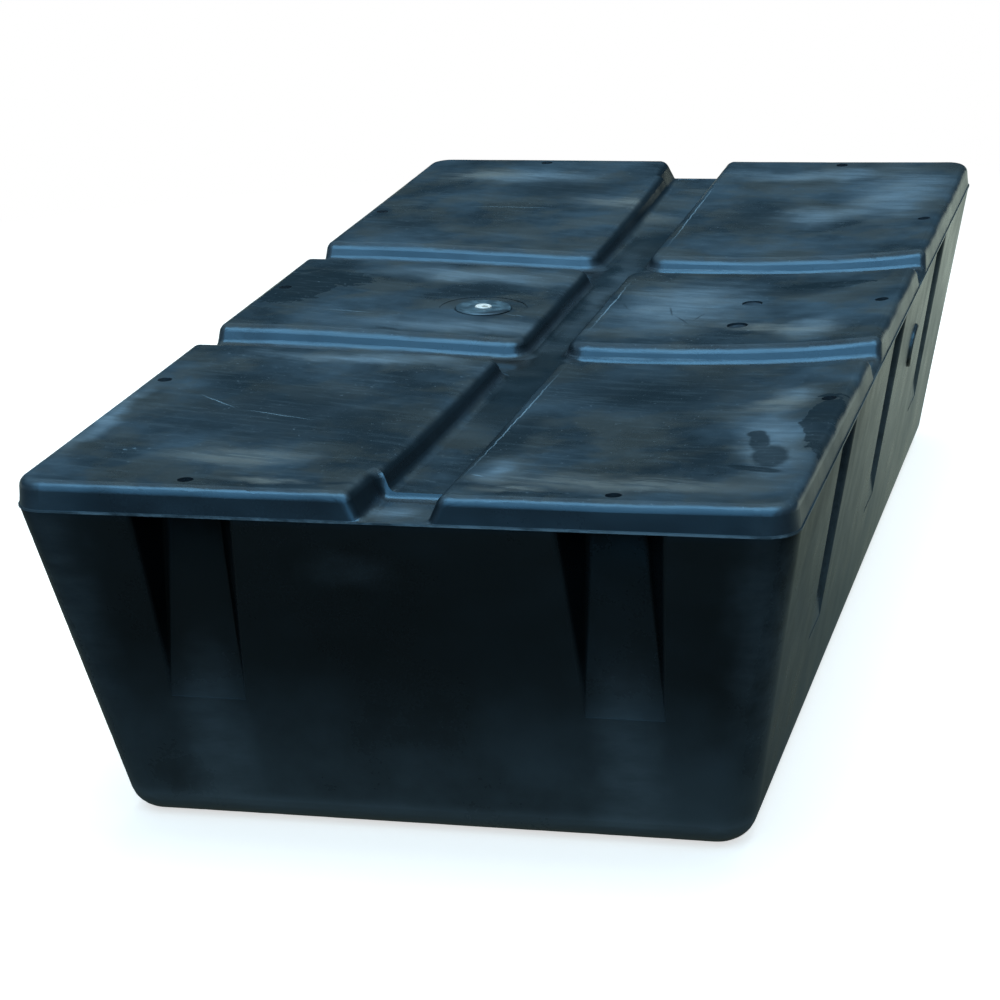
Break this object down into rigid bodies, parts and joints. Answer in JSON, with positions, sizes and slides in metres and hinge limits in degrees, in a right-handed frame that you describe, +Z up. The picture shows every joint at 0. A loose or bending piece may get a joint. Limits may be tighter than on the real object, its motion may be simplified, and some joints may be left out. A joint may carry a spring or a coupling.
{
  "type": "dock float drum",
  "caption": "Rotomoulded float drum for a floating dock, with leaning walls, a bolt-down rim over open wall pockets, grooved deck pads and round closures.",
  "frame": {"origin": "centre of the flat bottom", "axes": "+X across the width, +Y along the length, +Z up"},
  "size_m": [0.9168, 1.8312, 0.4457],
  "materials": {
    "float_body": "weathered black polyethylene",
    "fill_disc": "black polyethylene",
    "vent_button": "white polyethylene",
    "vent_plugs": "black polyethylene"
  },
  "bodies": {
    "root": {"float_body": "float_body", "fill_disc": "fill_disc", "vent_button": "vent_button", "vent_plug_near": "vent_plugs", "vent_plug_far": "vent_plugs"}
  },
  "joints": []
}
